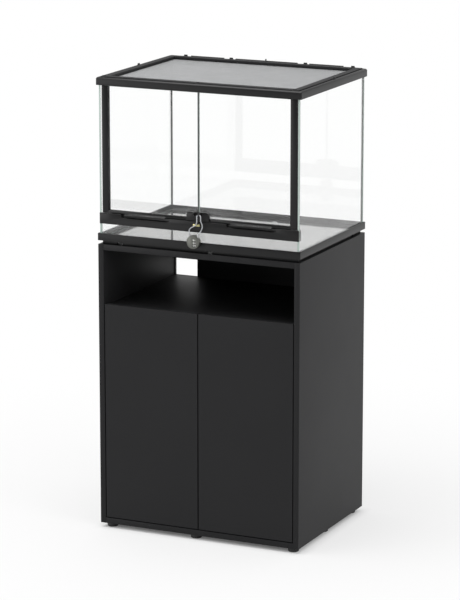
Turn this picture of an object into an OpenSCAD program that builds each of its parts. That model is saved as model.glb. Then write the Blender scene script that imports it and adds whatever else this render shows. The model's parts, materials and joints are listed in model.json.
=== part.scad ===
// Terrarium on a cabinet: a glass tank with two hinged front doors and a mesh
// lid stands on a board cabinet with an open niche and two inset doors.
// Millimetres. X is the width, -Y the front, +Z up. The origin is on the floor,
// under the middle of the cabinet.

/* [Cabinet carcass] */
// Width of the cabinet and of the terrarium's frames
body_w = 600; // [560:10:760]
// Depth of the cabinet and of the terrarium's frames
body_d = 450; // [420:10:520]
// Height of the carcass without its feet
carcass_h = 792; // [760:4:860]
// Thickness of the carcass boards
board_t = 16; // [15:0.5:19]
// Thickness of the back panel
back_t = 8; // [6:0.5:12]
// Clear height of the open niche
niche_h = 157; // [130:1:180]
// Width of the cable cut-out in the back panel
cable_hole_w = 70; // [50:1:90]
// Height of the cable cut-out
cable_hole_h = 50; // [35:1:70]
// Board left between the cut-out and the left side panel
cable_hole_edge = 2; // [1:0.5:20]

/* [Inner shelf] */
// Height of the shelf's underside above the bottom panel
shelf_rise = 280; // [200:5:340]
// Distance of the shelf's front edge behind the cabinet's front
shelf_setback = 38; // [32:1:80]
// Gap between the shelf and the carcass on its sides and back
shelf_gap = 0.8; // [0.5:0.1:2]
// Diameter of the shelf pins
pin_d = 5; // [4:0.5:7]
// Length of a shelf pin outside its hole
pin_out = 7; // [6:0.5:10]
// Depth of a shelf pin's hole
pin_in = 9; // [7:0.5:11]
// Distance of the shelf pins from the cabinet's front and back
pin_inset = 70; // [60:5:110]

/* [Feet] */
// Diameter of a foot
foot_d = 30; // [24:1:34]
// Height of a foot
foot_h = 13; // [10:0.5:18]
// Height of the bevel round a foot's bottom
foot_bevel = 1.5; // [1:0.5:4]
// Distance of the outer feet from the cabinet's sides
foot_inset_x = 25; // [25:1:40]
// Distance of the front feet from the cabinet's front
foot_inset_front = 25; // [20:1:45]
// Distance of the rear feet from the cabinet's back
foot_inset_rear = 30; // [25:1:60]
// Sideways place of the middle foot in the front row
foot_mid_x = -17; // [-30:1:30]
// Diameter of the peg that holds a foot
foot_peg_d = 8; // [6:0.5:9]
// Length of the peg
foot_peg_h = 10; // [6:0.5:12]

/* [Cabinet doors] */
// Thickness of the doors
cab_door_t = 16; // [15:0.5:19]
// Gap between a door and the side or bottom panel
cab_door_gap = 2.5; // [2:0.1:4]
// Gap between the two doors
cab_door_mid_gap = 3; // [2:0.1:5]
// Height of the doors above the niche's floor
cab_door_over = 6; // [0:0.5:10]
// Gap between the closed doors and the shelf edge behind them
cab_door_back_gap = 1.5; // [1:0.1:3]

/* [Door hinges] */
// Distance of the hinges from the doors' ends
hinge_end = 95; // [70:5:140]
// Diameter of a hinge cup
cup_d = 35; // [35:1:35]
// Depth of a hinge cup
cup_h = 11.5; // [10:0.5:12]
// Wall of a hinge cup
cup_wall = 1; // [0.8:0.1:1.4]
// Board left between the cup and the door's edge
cup_edge = 4; // [3:0.5:5]
// Width of a hinge arm
arm_w = 14; // [10:1:16]
// Thickness of a mounting plate
plate_t = 3; // [2:0.5:4]
// Height of a mounting plate
plate_h = 54; // [44:1:64]

/* [Push latches] */
// Distance of a push latch from the gap between the doors
latch_x = 30; // [20:1:60]
// Width of a push latch
latch_w = 16; // [14:1:24]
// Height of a push latch
latch_h = 14; // [12:1:20]
// Length of a push latch
latch_len = 52; // [46:1:80]
// Diameter of its plunger
plunger_d = 6; // [4:0.5:8]
// Way that the plunger can be pushed in
plunger_travel = 2.5; // [1.5:0.1:4]
// Diameter of the plunger's tip
tip_d = 10; // [8:0.5:12]
// Thickness of the plunger's tip
tip_t = 3; // [2:0.5:4]
// Thickness of a strike plate
strike_t = 1; // [0.6:0.1:2]

/* [Board fasteners] */
// Diameter of a wooden dowel
dowel_d = 8; // [6:0.5:9]
// Length of a wooden dowel
dowel_len = 30; // [24:1:34]
// Depth of a dowel or cam bolt in the side panels
dowel_in = 10; // [7:0.5:11]
// Distance of the dowels from the cabinet's front and back
dowel_inset = 60; // [45:5:80]
// Diameter of a cam lock
cam_d = 15; // [12:0.5:16]
// Thickness of a cam lock
cam_h = 12; // [11:0.5:13]
// Distance of a cam lock from the end of its board
cam_in = 34; // [30:1:40]
// Diameter of a cam bolt
cam_bolt_d = 6; // [5:0.5:7]
// Distance between a cam bolt and its dowel
cam_dowel_gap = 32; // [25:1:45]
// Diameter of a back panel screw
screw_d = 3; // [2.5:0.5:4]
// Length of a back panel screw
screw_len = 25; // [18:1:30]
// Number of screws in each board
screw_count = 4; // [2:1:6]

/* [Terrarium base] */
// Height of the terrarium, frame to frame
tank_h = 460.5; // [400:0.5:560]
// Height of the set-back rim under the base frame
plinth_h = 10; // [8:0.5:18]
// Set-back of that rim
plinth_inset = 9; // [8:0.5:18]
// Wall of that rim
plinth_wall = 5; // [3:0.5:8]
// Height of the base frame's band
base_band_h = 20; // [15:0.5:24]
// Reach of the base band past each side of the cabinet
band_over = 1; // [0:0.25:3]
// Thickness of the web that the glass stands on
base_web_t = 3; // [2:0.5:4]
// Width of that web
base_web_w = 26; // [20:1:40]
// Width of the air slots under the rim
air_slot_w = 16; // [8:1:24]
// Height of the air slots
air_slot_h = 6; // [2:0.5:7]

/* [Tank glass] */
// Thickness of the fixed panes
glass_t = 5; // [4:0.5:6]
// Set-back of the side panes behind the frames' sides
pane_inset_x = 4; // [3.5:0.25:6]
// Set-back of the panes behind the frames' front and back
pane_inset_y = 5; // [4.5:0.25:7]
// Height of the low front pane above the base frame's web
low_pane_h = 59; // [40:0.5:80]
// Width of the silicone in the inner corners
seam_w = 4; // [2:0.5:6]

/* [Front rail] */
// Height of the rail's underside above the tank's bottom
rail_rise = 57; // [50:0.5:66]
// Height of the rail
rail_h = 30; // [24:0.5:36]
// Front wall of the rail, in front of the low pane
rail_front_t = 3; // [2:0.5:4]
// Height of the door stop behind the doors
stop_h = 8; // [6:0.5:12]
// Thickness of the door stop
stop_t = 3; // [2:0.5:4]
// Outer end of a finger recess, from the middle of the rail
recess_out = 230; // [200:1:240]
// Inner end of a finger recess, from the middle of the rail
recess_in = 85; // [70:1:110]
// Height of a finger recess
recess_h = 9; // [8:0.5:14]
// Depth of a finger recess
recess_deep = 7; // [1:0.25:8]

/* [Glass doors] */
// Thickness of the door glass
door_glass_t = 4; // [3:0.5:5]
// Gap between a door and the rail or the top frame
door_gap = 1.5; // [1:0.1:2.5]
// Gap between the two edge strips
door_mid_gap = 1; // [0.8:0.1:2]
// Width of a hinge post
post_w = 20; // [18:0.5:24]
// Depth of a hinge post
post_d = 14; // [12:0.5:15]
// Radius of a hinge post's outer corners
post_round = 4; // [3:0.5:6]
// Depth of the glass in the post and in the foot profile
glass_seat = 6; // [4:0.5:8]
// Height of the foot profile under a door
foot_profile_h = 7.5; // [6:0.5:10]
// Depth of the foot profile
foot_profile_d = 11; // [9:0.5:12]
// How far the finger lip stands in front of the rail
lip_out = 5.5; // [4:0.5:7]
// Drop of the finger lip below its profile
lip_drop = 4; // [3:0.5:8]
// Thickness of the finger lip
lip_t = 2.5; // [2:0.5:3.5]
// Width of an edge strip
strip_w = 1.5; // [1.5:0.25:3]
// Diameter of a pivot pin
pivot_d = 4; // [3:0.5:5]
// Depth of a pivot pin in the post, the rail and the top frame
pivot_in = 9; // [7:0.5:10]

/* [Top frame and lid] */
// Height of the top frame's band
top_band_h = 23.5; // [21:0.5:30]
// Width of the top frame
top_w = 27.5; // [25:0.5:34]
// Reach of the top frame past each side of the cabinet
top_over = 2.5; // [0:0.25:4]
// Thickness of the rim round the lid
rim_t = 5; // [4:0.25:6]
// Drop of that rim below the lid's top
rim_drop = 2; // [0:0.25:3]
// Chamfer round the rim's outer edge
rim_chamfer = 3.5; // [1:0.25:3.75]
// Height of the lid
lid_h = 11.5; // [10:0.5:13]
// Gap between the lid and the rim
lid_gap = 3; // [2:0.25:4]
// Width of the lid's frame
lid_border = 20.5; // [18:0.5:26]
// Depth of the mesh below the lid's top
mesh_deep = 8.5; // [5:0.5:9]
// Thickness of the mesh
mesh_t = 1; // [0.8:0.1:1.2]
// Width of the mesh's edge that lies in the lid's frame
mesh_seat = 6; // [4:0.5:10]
// Width of a lid clip
clip_w = 14; // [10:1:20]
// Width of the narrow clip in the middle of the rear side
mid_clip_w = 7; // [6:0.5:10]
// Height of that narrow clip above the frame
mid_clip_up = 6.5; // [4:0.25:7]
// Height of a clip above the frame
clip_up = 3.5; // [1:0.25:4]
// Height of the cable inlets' covers above the frame
inlet_up = 1; // [0.5:0.25:2]
// Height of the notches that those covers fill
inlet_h = 9; // [6:0.5:10]

/* [Cable lock] */
// Width of a lock plate, from the middle of the doors
plate_w = 34; // [28:1:44]
// Height of a lock plate
plate_up = 24; // [22:0.5:32]
// Thickness of a lock plate in front of the glass
lock_plate_t = 3; // [2:0.5:4]
// How far the ear stands in front of its plate
ear_out = 15; // [14:0.5:18]
// Thickness of an ear
ear_t = 3; // [2.5:0.5:4]
// Diameter of the ear's hole
ear_hole_d = 5; // [4.6:0.1:5.4]
// Distance of the ear from the middle of the doors
ear_x = 6.5; // [6:0.25:9]
// Diameter of the lock's cable
cable_d = 3; // [2:0.25:3.2]
// Diameter of the lock's case
case_d = 37; // [34:0.5:42]
// Thickness of the case
case_t = 13; // [11:0.5:13]
// Drop from the ear's hole to the middle of the case
case_drop = 74; // [70:0.5:84]
// Sideways place of the case
case_x = -7; // [-10:0.5:-2]
// Sideways place of the dials in the case
dial_x = 4; // [0:0.5:5]
// Diameter of a dial, across its corners
dial_d = 15; // [14.5:0.25:16.5]
// Height of a dial
dial_h = 6.4; // [5:0.2:7]
// Distance between dials
dial_pitch = 7.6; // [7.2:0.1:8.4]
// Diameter of the spindle
spindle_d = 3; // [2:0.25:4]
// Width of the keeper on the rail
keeper_w = 20; // [14:1:26]

/* [Hidden] */
$fn = 48;

// clearances shared by parts that fit together
run_fit = 0.06;      // radial, for parts that turn or slide
seat_fit = 0.05;     // radial, for pins and cups held in their holes
glass_fit = 0.3;     // each side of a pane in its slot
part_gap = 0.3;      // between parts that must not rub
blind_gap = 0.5;     // left free at the bottom of a blind hole
lap = 0.01;          // overlap of two shapes that form one solid
cut = 1;             // how far a cut runs past the face that it opens

// cabinet levels and planes
half_w = body_w / 2;
half_d = body_d / 2;
front_y = -half_d;
floor_z = foot_h;
cab_top_z = floor_z + carcass_h;
inner_x = half_w - board_t;
back_y = half_d - back_t;
niche_top_z = cab_top_z - board_t;
niche_floor_z = niche_top_z - niche_h;
shelf_under_z = niche_floor_z - board_t;
deck_z = floor_z + board_t;
inner_shelf_z = deck_z + shelf_rise;
shelf_front_y = front_y + cab_door_t + cab_door_back_gap;

// cabinet doors: each turns about the front corner of its outer edge
cab_door_x = inner_x - cab_door_gap;
cab_door_z = deck_z + cab_door_gap;
cab_door_h = niche_floor_z + cab_door_over - cab_door_z;
cab_door_back_y = front_y + cab_door_t;
hinge_z = [cab_door_z + hinge_end, shelf_under_z - hinge_end + cab_door_over];
cup_x = cab_door_x - cup_edge - cup_d / 2;
cup_flange_t = 1;
cup_flange_w = 20;
cup_flange_l = 52;

// hinge arms: plate on the side panel, cranked arm, and nose in the door's cup
plate_y = cab_door_back_y + 21;
plate_len = 40;
arm_h = 9;
arm_end_gap = 2;
arm_slope = 3;
elbow_in = [2, 7];
elbow_out = [5, 13];
nose_w = 10;
nose_deep = 5;
nose_bevel = 2;

// push latches
tip_y = cab_door_back_y + strike_t + part_gap;
push_spare = 0.2;
latch_front_y = tip_y + tip_t + plunger_travel + push_spare;
latch_back_wall = 6;
plunger_len = 34;
strike_size = 18;

// board fasteners
board_levels = [floor_z, shelf_under_z, niche_top_z];
dowel_ys = [front_y + dowel_inset, back_y - dowel_inset];
cam_ys = [front_y + dowel_inset + cam_dowel_gap, back_y - dowel_inset - cam_dowel_gap];
screw_head_d = 2 * screw_d;
screw_head_h = screw_d;
screw_end = 40;
cross_w = 0.8;
cross_deep = 1;
cam_slot_w = 1.6;
cam_slot_deep = 1;

// tank levels and planes
tank_z = cab_top_z;
band_z = tank_z + plinth_h;
web_top_z = band_z + base_web_t;
tank_top_z = tank_z + tank_h;
top_band_z = tank_top_z - top_band_h;
ledge_z = tank_top_z - lid_h;
rim_top_z = tank_top_z - rim_drop;
pane_x = half_w - pane_inset_x;
pane_y = half_d - pane_inset_y;
pane_in_x = pane_x - glass_t;
pane_in_y = pane_y - glass_t;
pane_cover = 3;
pane_top_z = ledge_z - pane_cover;
floor_top_z = web_top_z + glass_t;
rim_corner_r = 3;
band_corner_r = 1.5;
top_corner_r = 2;
seam_end_gap = 1;

// front rail
rail_z = tank_z + rail_rise;
rail_top_z = rail_z + rail_h;
rail_front_y = -pane_y - rail_front_t;
rail_side_gap = 0.5;
low_pane_top_z = web_top_z + low_pane_h;
recess_round = 4;

// glass doors: each turns about the pivot pins in its hinge post
post_front_y = -pane_y;
pivot_y = post_front_y + post_d / 2;
post_side_gap = 2;
pivot_x = pane_in_x - post_side_gap - post_d / 2;
post_in_x = pivot_x + post_d / 2 - post_w;
door_z = rail_top_z + door_gap;
door_top_z = top_band_z - door_gap;
door_glass_ahead = 2;
door_glass_y = pivot_y - door_glass_ahead;
strip_x = door_mid_gap / 2;
door_glass_x = strip_x + strip_w;
strip_wall = 0.5;
foot_front_y = door_glass_y - foot_profile_d / 2;
foot_end_gap = 0.2;
lip_end_gap = 12;
lip_root = 1.5;
pivot_reach = 2 * pivot_in + door_gap;

// door stop: it stands on the rail behind the doors, between the hinge posts
stop_gap = 0.5;
stop_end_gap = 3;
stop_x = post_in_x - stop_end_gap;
rail_back_y = foot_front_y + foot_profile_d + stop_gap + stop_t;

// keeper on the rail: a plated strap with two legs
keeper_x = -2;
keeper_z = rail_z + rail_h / 2 + 5.25;
keeper_h = 6;
keeper_out = 5;
keeper_front_t = 2;
keeper_leg = 4;

// lid
rim_in_x = half_w - rim_t;
rim_in_y = half_d - rim_t;
lid_x = rim_in_x - lid_gap;
lid_y = rim_in_y - lid_gap;
mesh_z = tank_top_z - mesh_deep;
back_clip_x = [-247, -106, 120, 262];
side_clip_y = 16;
inlet_spans = [[-232, -130], [-94, 94], [130, 232]];
air_slot_x = [-238, 32];
air_slot_y = [155];
lid_corner_r = 3;
clip_end = 12;
clip_step = 2;

// cable lock: it hangs from the right door's ear and swings about the cable
ear_hole_end = 5;
ear_hole_up = 19;
hang_gap = 0.45;
plate_flat = 0.5;
ear_hole_y = foot_front_y - lock_plate_t - ear_out + ear_hole_end;
ear_hole_z = door_z + ear_hole_up;
hang_z = ear_hole_z - ear_hole_d / 2 + cable_d / 2 + hang_gap;
case_z = hang_z - case_drop;
case_r = case_d / 2;
dial_axis_x = case_x + dial_x;
dial_drop = 2;
ferrule_wall = 1.2;
ferrule_d = cable_d + 2 * ferrule_wall;
ferrule_h = 9;
ferrule_floor = 1;
ferrule_reach = 12;
ferrule_rise = 10;
ferrule_x = [case_x - ferrule_reach, case_x + ferrule_reach];
ferrule_z = case_z + ferrule_rise;
spindle_z0 = case_z - case_r + 3;
spindle_z1 = case_z + case_r - 4;
spindle_end_gap = 0.2;

// ---------- shapes used by several parts ----------

module at_sides() {
    for (s = [-1, 1])
        mirror([s < 0 ? 1 : 0, 0, 0])
            children();
}

module left_of() {
    mirror([1, 0, 0])
        children();
}

// box between two opposite corners
module span(a, b) {
    translate(a)
        cube(b - a);
}

// cylinder that points along X from the point p
module rod_x(p, d, len) {
    translate(p)
        rotate([0, 90, 0])
            cylinder(d = d, h = len);
}

// cylinder that points along +Y from the point p
module rod_y(p, d, len) {
    translate(p)
        rotate([-90, 0, 0])
            cylinder(d = d, h = len);
}

// flat outline with four round corners
module round_rect(w, d, r) {
    square([w - 2 * r, d], center = true);
    square([w, d - 2 * r], center = true);
    for (x = [-1, 1], y = [-1, 1])
        translate([x * (w / 2 - r), y * (d / 2 - r)])
            circle(r);
}

// upright block with round corners, centred on the Z axis
module slab(w, d, r, z0, z1) {
    translate([0, 0, z0])
        linear_extrude(z1 - z0)
            round_rect(w, d, r);
}

// ---------- cabinet ----------

module side_panel_right() {
    color([0.22, 0.22, 0.225])
        difference() {
            span([inner_x, front_y, floor_z], [half_w, half_d, cab_top_z]);
            for (z = board_levels, y = dowel_ys)
                rod_x([inner_x - cut, y, z + board_t / 2], dowel_d + 2 * seat_fit, dowel_in + cut);
            for (z = board_levels, y = cam_ys)
                rod_x([inner_x - cut, y, z + board_t / 2], cam_bolt_d + 2 * seat_fit,
                    dowel_in + cut);
            for (y = [front_y + pin_inset, back_y - pin_inset])
                rod_x([inner_x - cut, y, inner_shelf_z - pin_d / 2], pin_d + 2 * seat_fit, pin_in + cut);
        }
}

module side_panel_left() {
    left_of()
        side_panel_right();
}

// cuts for the fasteners of a horizontal board that lies at the level z
module board_cuts(z) {
    mid_z = z + board_t / 2;
    at_sides() {
        for (y = dowel_ys)
            rod_x([inner_x + dowel_in - dowel_len - blind_gap, y, mid_z],
                dowel_d + 2 * seat_fit, dowel_len);
        for (y = cam_ys) {
            rod_x([inner_x - cam_in, y, mid_z], cam_bolt_d + 2 * seat_fit, cam_in + cut);
            translate([inner_x - cam_in, y, z - cut])
                cylinder(d = cam_d + 2 * seat_fit, h = cam_h + cut + seat_fit);
        }
    }
    for (x = screw_xs())
        rod_y([x, back_y - screw_len, mid_z], screw_d + 2 * seat_fit, screw_len + cut);
}

function screw_xs() = [for (i = [0 : screw_count - 1])
    -inner_x + screw_end + i * 2 * (inner_x - screw_end) / (screw_count - 1)];

module top_panel() {
    color([0.2, 0.2, 0.205])
        difference() {
            span([-inner_x, front_y, niche_top_z], [inner_x, back_y, cab_top_z]);
            board_cuts(niche_top_z);
        }
}

module bottom_panel() {
    color([0.2, 0.2, 0.205])
        difference() {
            span([-inner_x, front_y, floor_z], [inner_x, back_y, deck_z]);
            board_cuts(floor_z);
            for (p = foot_places())
                translate([p[0], p[1], floor_z - cut])
                    cylinder(d = foot_peg_d + 2 * seat_fit, h = foot_peg_h + cut + seat_fit);
        }
}

module niche_shelf() {
    color([0.2, 0.2, 0.205])
        difference() {
            span([-inner_x, shelf_front_y, shelf_under_z], [inner_x, back_y, niche_floor_z]);
            board_cuts(shelf_under_z);
        }
}

module back_panel() {
    color([0.16, 0.16, 0.165])
        difference() {
            span([-inner_x, back_y, floor_z], [inner_x, half_d, cab_top_z]);
            translate([-inner_x + cable_hole_edge, back_y - cut, niche_floor_z])
                cube([cable_hole_w, back_t + 2 * cut, cable_hole_h]);
            for (z = board_levels, x = screw_xs()) {
                rod_y([x, back_y - cut, z + board_t / 2], screw_d + 2 * seat_fit, back_t + 2 * cut);
                rod_y([x, half_d - screw_head_h, z + board_t / 2],
                    screw_head_d + 2 * seat_fit, screw_head_h + cut);
            }
        }
}

module inner_shelf() {
    color([0.2, 0.2, 0.205])
        span([-inner_x + shelf_gap, front_y + shelf_setback, inner_shelf_z],
            [inner_x - shelf_gap, back_y - shelf_gap, inner_shelf_z + board_t]);
}

module shelf_pins() {
    color("silver")
        at_sides()
            for (y = [front_y + pin_inset, back_y - pin_inset])
                rod_x([inner_x - pin_out, y, inner_shelf_z - pin_d / 2], pin_d, pin_out + pin_in);
}

function foot_places() = [
    [-half_w + foot_inset_x, front_y + foot_inset_front],
    [foot_mid_x, front_y + foot_inset_front],
    [half_w - foot_inset_x, front_y + foot_inset_front],
    [-half_w + foot_inset_x, 0],
    [0, 0],
    [half_w - foot_inset_x, 0],
    [-half_w + foot_inset_x, half_d - foot_inset_rear],
    [0, half_d - foot_inset_rear],
    [half_w - foot_inset_x, half_d - foot_inset_rear]];

module feet() {
    color([0.1, 0.1, 0.1])
        for (p = foot_places())
            translate([p[0], p[1], 0])
                rotate_extrude()
                    polygon([[0, 0], [foot_d / 2 - foot_bevel, 0], [foot_d / 2, foot_bevel],
                        [foot_d / 2, foot_h], [foot_peg_d / 2, foot_h],
                        [foot_peg_d / 2, foot_h + foot_peg_h], [0, foot_h + foot_peg_h]]);
}

module dowels() {
    color([0.75, 0.6, 0.4])
        at_sides()
            for (z = board_levels, y = dowel_ys)
                rod_x([inner_x + dowel_in - dowel_len, y, z + board_t / 2], dowel_d, dowel_len - blind_gap);
}

module cam_locks() {
    color([0.6, 0.6, 0.62])
        at_sides()
            for (z = board_levels, y = cam_ys)
                difference() {
                    translate([inner_x - cam_in, y, z])
                        cylinder(d = cam_d, h = cam_h);
                    rod_x([inner_x - cam_in, y, z + board_t / 2], cam_bolt_d + 2 * seat_fit, cam_d);
                    translate([inner_x - cam_in, y, z])
                        cube([cam_d * 0.6, cam_slot_w, 2 * cam_slot_deep], center = true);
                }
}

module cam_bolts() {
    color([0.7, 0.68, 0.6])
        at_sides()
            for (z = board_levels, y = cam_ys)
                rod_x([inner_x - cam_in + blind_gap, y, z + board_t / 2], cam_bolt_d,
                    cam_in + dowel_in - 2 * blind_gap);
}

module back_screws() {
    color("silver")
        for (z = board_levels, x = screw_xs())
            difference() {
                union() {
                    rod_y([x, half_d - screw_len, z + board_t / 2], screw_d,
                        screw_len - screw_head_h + lap);
                    rod_y([x, half_d - screw_head_h, z + board_t / 2],
                        screw_head_d, screw_head_h);
                }
                translate([x, half_d, z + board_t / 2])
                    for (turn = [0, 90])
                        rotate([0, turn, 0])
                            cube([screw_head_d * 0.6, 2 * cross_deep, cross_w], center = true);
            }
}

// ---------- cabinet doors, hinges and latches ----------

module cabinet_door_right() {
    color([0.19, 0.19, 0.195])
        difference() {
            span([cab_door_mid_gap / 2, front_y, cab_door_z],
                [cab_door_x, cab_door_back_y, cab_door_z + cab_door_h]);
            for (z = hinge_z)
                rod_y([cup_x, cab_door_back_y - cup_h - seat_fit, z],
                    cup_d + 2 * seat_fit, cup_h + cut);
        }
}

module cabinet_door_left() {
    left_of()
        cabinet_door_right();
}

// steel cup in the door's back, with a flange that the cup is screwed on by
module hinge_cups_right() {
    color([0.7, 0.7, 0.72])
        for (z = hinge_z)
            difference() {
                union() {
                    rod_y([cup_x, cab_door_back_y - cup_h, z], cup_d, cup_h);
                    translate([cup_x - cup_flange_w / 2, cab_door_back_y, z - cup_flange_l / 2])
                        cube([cup_flange_w, cup_flange_t, cup_flange_l]);
                }
                rod_y([cup_x, cab_door_back_y - cup_h + cup_wall, z],
                    cup_d - 2 * cup_wall, cup_h + cup_flange_t);
            }
}

module hinge_cups_left() {
    left_of()
        hinge_cups_right();
}

// cranked arm on its mounting plate; the nose reaches into the closed door's cup
module hinge_arms_right() {
    arm_x = inner_x - plate_t;
    plate_end_y = plate_y + plate_len;
    outline = [
        [arm_x, plate_end_y - arm_end_gap],
        [arm_x - arm_h, plate_end_y - arm_end_gap],
        [arm_x - arm_h, plate_y + arm_slope],
        [cup_x + elbow_in[0], cab_door_back_y + elbow_in[1]],
        [cup_x - nose_w / 2, cab_door_back_y],
        [cup_x - nose_w / 2, cab_door_back_y - nose_deep],
        [cup_x + nose_w / 2, cab_door_back_y - nose_deep],
        [cup_x + nose_w / 2, cab_door_back_y + nose_bevel],
        [arm_x - elbow_out[0], cab_door_back_y + elbow_out[1]],
        [arm_x, plate_y]];
    color([0.72, 0.72, 0.74])
        for (z = hinge_z) {
            translate([0, 0, z - arm_w / 2])
                linear_extrude(arm_w)
                    polygon(outline);
            span([arm_x, plate_y, z - plate_h / 2], [inner_x, plate_end_y, z + plate_h / 2]);
        }
}

module hinge_arms_left() {
    left_of()
        hinge_arms_right();
}

module latch_bodies() {
    color([0.25, 0.25, 0.25])
        at_sides()
            difference() {
                span([latch_x - latch_w / 2, latch_front_y, shelf_under_z - latch_h],
                    [latch_x + latch_w / 2, latch_front_y + latch_len, shelf_under_z]);
                rod_y([latch_x, latch_front_y - cut, shelf_under_z - latch_h / 2],
                    plunger_d + 2 * run_fit, latch_len - latch_back_wall + cut);
            }
}

module latch_plunger_right() {
    color([0.85, 0.85, 0.85]) {
        rod_y([latch_x, tip_y, shelf_under_z - latch_h / 2], tip_d, tip_t);
        rod_y([latch_x, tip_y, shelf_under_z - latch_h / 2], plunger_d, tip_t + plunger_len);
    }
}

module latch_plunger_left() {
    left_of()
        latch_plunger_right();
}

module strike_plate_right() {
    color("silver")
        translate([latch_x - strike_size / 2, cab_door_back_y,
            shelf_under_z - latch_h / 2 - strike_size / 2])
            cube([strike_size, strike_t, strike_size]);
}

module strike_plate_left() {
    left_of()
        strike_plate_right();
}

// ---------- terrarium: base, glass and rail ----------

module base_frame() {
    rim_w = body_w - 2 * plinth_inset;
    rim_d = body_d - 2 * plinth_inset;
    color([0.2, 0.2, 0.205])
        difference() {
            union() {
                slab(rim_w, rim_d, rim_corner_r, tank_z, band_z);
                slab(body_w + 2 * band_over, body_d, band_corner_r, band_z, band_z + base_band_h);
            }
            span([-rim_w / 2 + plinth_wall, -rim_d / 2 + plinth_wall, tank_z - cut],
                [rim_w / 2 - plinth_wall, rim_d / 2 - plinth_wall, band_z]);
            span([-half_w + base_web_w, -half_d + base_web_w, band_z - cut],
                [half_w - base_web_w, half_d - base_web_w, web_top_z + cut]);
            span([-pane_x - glass_fit, -pane_y - glass_fit, web_top_z],
                [pane_x + glass_fit, pane_y + glass_fit, band_z + base_band_h + cut]);
            for (x = air_slot_x)
                translate([x - air_slot_w / 2, -half_d, tank_z - cut])
                    cube([air_slot_w, body_d, air_slot_h + cut]);
            for (y = air_slot_y)
                translate([-half_w, y - air_slot_w / 2, tank_z - cut])
                    cube([body_w, air_slot_w, air_slot_h + cut]);
        }
}

module floor_glass() {
    color([0.7, 0.85, 0.8, 0.4])
        span([-pane_in_x, -pane_in_y, web_top_z], [pane_in_x, pane_in_y, floor_top_z]);
}

module side_glass_right() {
    color([0.7, 0.85, 0.8, 0.3])
        span([pane_in_x, -pane_y, web_top_z], [pane_x, pane_y, pane_top_z]);
}

module side_glass_left() {
    left_of()
        side_glass_right();
}

module back_glass() {
    color([0.7, 0.85, 0.8, 0.3])
        span([-pane_in_x, pane_in_y, web_top_z], [pane_in_x, pane_y, pane_top_z]);
}

module front_glass() {
    color([0.7, 0.85, 0.8, 0.3])
        span([-pane_in_x, -pane_y, web_top_z], [pane_in_x, -pane_in_y, low_pane_top_z]);
}

// three-cornered beads of silicone: up both rear corners, and along the floor's
// rear edge between them
module silicone_seams() {
    floor_seam_x = pane_in_x - seam_w - seam_end_gap;
    color([0.1, 0.1, 0.1]) {
        at_sides()
            translate([pane_in_x, pane_in_y, floor_top_z])
                linear_extrude(top_band_z - floor_top_z)
                    polygon([[0, 0], [-seam_w, 0], [0, -seam_w]]);
        translate([floor_seam_x, pane_in_y, floor_top_z])
            rotate([0, -90, 0])
                linear_extrude(2 * floor_seam_x)
                    polygon([[0, 0], [seam_w, 0], [0, -seam_w]]);
    }
}

// outline of a finger recess in X and Z below the rail's top, with round lower corners
module recess_outline() {
    translate([recess_in, recess_round - recess_h])
        square([recess_out - recess_in, recess_h - recess_round + cut]);
    translate([recess_in + recess_round, -recess_h])
        square([recess_out - recess_in - 2 * recess_round, recess_h]);
    for (x = [recess_in + recess_round, recess_out - recess_round])
        translate([x, recess_round - recess_h])
            circle(recess_round);
}

// rail that covers the low pane's top edge and carries the doors' lower pivots
module front_rail() {
    flange_x = pane_x - rail_side_gap;
    color([0.2, 0.2, 0.205])
        difference() {
            union() {
                span([-flange_x, rail_front_y, rail_z], [flange_x, -pane_y, rail_top_z]);
                span([-pane_in_x, -pane_y - lap, rail_z], [pane_in_x, rail_back_y, rail_top_z]);
                span([-stop_x, rail_back_y - stop_t, rail_top_z - lap],
                    [stop_x, rail_back_y, rail_top_z + stop_h]);
            }
            span([-pane_in_x - cut, -pane_y, rail_z - cut],
                [pane_in_x + cut, -pane_in_y + glass_fit, low_pane_top_z + glass_fit]);
            at_sides() {
                translate([0, rail_front_y + recess_deep, rail_top_z])
                    rotate([90, 0, 0])
                        linear_extrude(recess_deep + cut)
                            recess_outline();
                translate([pivot_x, pivot_y, rail_top_z - pivot_in - blind_gap])
                    cylinder(d = pivot_d + 2 * run_fit, h = pivot_in + blind_gap + cut);
            }
        }
}

module keeper() {
    color([0.8, 0.72, 0.45])
        difference() {
            translate([keeper_x - keeper_w / 2, rail_front_y - keeper_out, keeper_z - keeper_h / 2])
                cube([keeper_w, keeper_out, keeper_h]);
            translate([keeper_x - keeper_w / 2 + keeper_leg,
                rail_front_y - keeper_out + keeper_front_t, keeper_z - keeper_h / 2 - cut])
                cube([keeper_w - 2 * keeper_leg, keeper_out, keeper_h + 2 * cut]);
        }
}

// ---------- top frame and lid ----------

// what the chamfer takes off one straight edge of the rim, reach in front of the middle
module rim_bevel(reach, len) {
    low = rim_top_z - rim_chamfer - cut;
    high = rim_top_z + cut;
    translate([-len / 2, 0, 0])
        rotate([90, 0, 90])
            linear_extrude(len)
                polygon([[-reach - cut, low], [-reach + rim_chamfer + cut, high],
                    [-reach - cut, high]]);
}

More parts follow.
